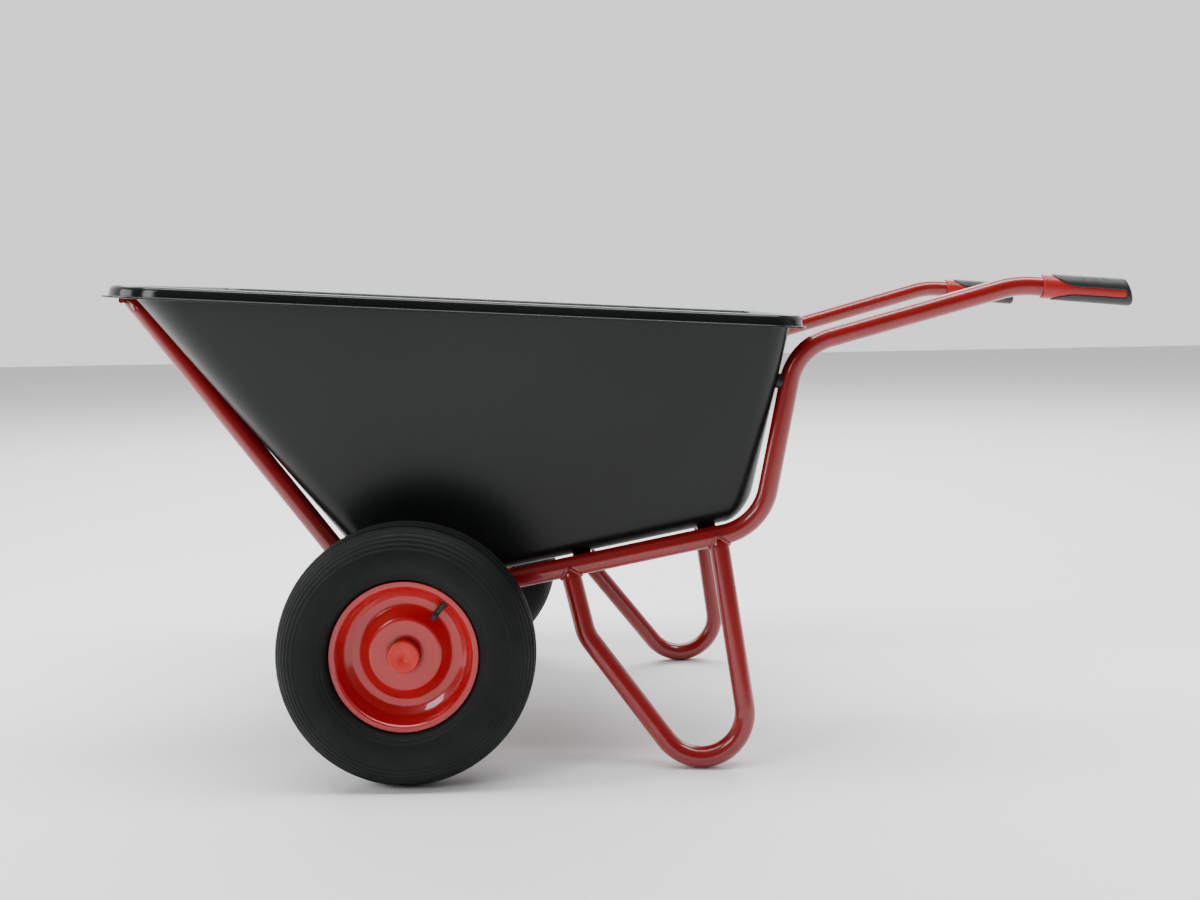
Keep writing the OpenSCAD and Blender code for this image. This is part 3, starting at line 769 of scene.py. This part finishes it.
def add_grip_core(name, side):
    """Red core with a rounded front edge, bored for the tube."""
    segments = 64
    below_skin, edge_l, edge_drop = 0.0006, 0.0016, 0.0009
    bore_gap = 0.0001

    def ring(x, extra):
        return [grip_point(x, 2 * math.pi * k / segments, extra) for k in range(segments)]

    rings = [ring(x, TUBE_R - GRIP_R0 - bore_gap) for x in (GRIP_PAST_TUBE, 0.0)]
    for x in [0.0, 0.0003, 0.0008, edge_l] + list(np.linspace(0.004, CORE_L, 40)):
        rings.append(ring(x, -below_skin - edge_drop * max(0.0, 1 - x / edge_l) ** 2))
    verts, faces = skin(rings, flip=True)
    make_piece(name + "_grip_core_look", verts, faces, "frame", "grip_red",
               [name + "_grip_core"], side)


def add_grip_pads(name, side):
    """Black soft skin on the core, sunk below it at the collar and along two red side stripes."""
    top, sunk, edge_drop, cap_r = 0.0009, -0.0014, 0.0006, 0.006
    collar_end, stripe_start, stripe_end = 0.015, 0.048, GRIP_L - 0.0125
    nose_l = 0.0055
    across, stripe_steps, nose_steps, cap_steps = 40, 4, 10, 14

    def half(x):
        """Half the stripe's angle, closing to its round end."""
        f = min(1.0, max(0.0, (x - stripe_end + nose_l) / nose_l))
        return math.radians(max(0.3, 18.5 * math.sqrt(1 - f * f)))

    # Each column round the grip: its angle is a + b * half, edge is 1 at a stripe and 0 halfway
    # between the stripes, and level is its height over the core
    columns = []
    for first, span in ((STRIPE_TILT, math.pi - 2 * STRIPE_TILT),
                        (math.pi - STRIPE_TILT, math.pi + 2 * STRIPE_TILT)):
        columns.append((first, 1.0, 1.0, sunk))
        for j in range(across + 1):
            u = j / across
            edge = abs(2 * u - 1)
            soft = edge_drop * max(0.0, edge - 0.94) / 0.06
            columns.append((first + span * u, 1 - 2 * u, edge, top - soft))
        for k in range(stripe_steps):
            columns.append((first + span, 2 * k / stripe_steps - 1, 1.0, sunk))

    full = grip_end(STRIPE_TILT) - cap_r - stripe_start
    nose = (stripe_end - nose_l - stripe_start) / full
    shut = (stripe_end - stripe_start) / full
    rows = [0.0, 0.0] + list(np.linspace(0.02, nose, 26))
    rows += [nose + (shut - nose) * math.sin(math.pi / 2 * k / nose_steps)
             for k in range(1, nose_steps + 1)]
    rows += list(np.linspace(shut, 1.0, 5)[1:])

    # The first ring lies deep in the core, so that the skin's front end is closed out of sight
    rings = [[grip_point(0.050, a + b * half(0.0), -0.010) for a, b, _, _ in columns]]
    for i, f in enumerate(rows):
        ring = []
        for a, b, edge, level in columns:
            start = collar_end + (stripe_start - collar_end) * edge ** 3
            x = start + (grip_end(a) - cap_r - start) * f
            if x > stripe_end - 1e-6:
                level = top
            if i == 0:
                level = sunk
            if i == 1:
                level = min(level, top - edge_drop)
            ring.append(grip_point(x, a + b * half(x), level))
        rings.append(ring)
    for k in range(1, cap_steps + 1):
        t = math.pi / 2 * k / cap_steps
        rings.append([grip_point(grip_end(a) - cap_r * (1 - math.sin(t)), a + b * half(GRIP_L),
                                 top - cap_r * (1 - math.cos(t))) for a, b, _, _ in columns])
    verts, faces = skin(rings, flip=True)
    make_piece(name + "_grip_pads_look", verts, faces, "frame", "grip_black",
               [name + "_grip_pads"], side)


# ---------------------------------------------------------------- the CAD nodes that stay

def finish_cad_nodes():
    """Gives every CAD node that still shows its own worked-up material."""
    slots = {s["node"]: s["material_slot"] for s in frame["record"]["subparts"]}
    for node, piece in frame["nodes"].items():
        material = MATERIALS[slots[node]]
        for place in range(max(1, len(piece.material_slots))):
            if piece.material_slots:
                piece.material_slots[place].material = material
            else:
                piece.data.materials.append(material)


add_camera()
add_studio()
add_frame()
add_tray()
for side_name, side_sign in SIDES.items():
    add_wheel(side_name, side_sign)
    add_grip_core(side_name, side_sign)
    add_grip_pads(side_name, side_sign)
finish_cad_nodes()
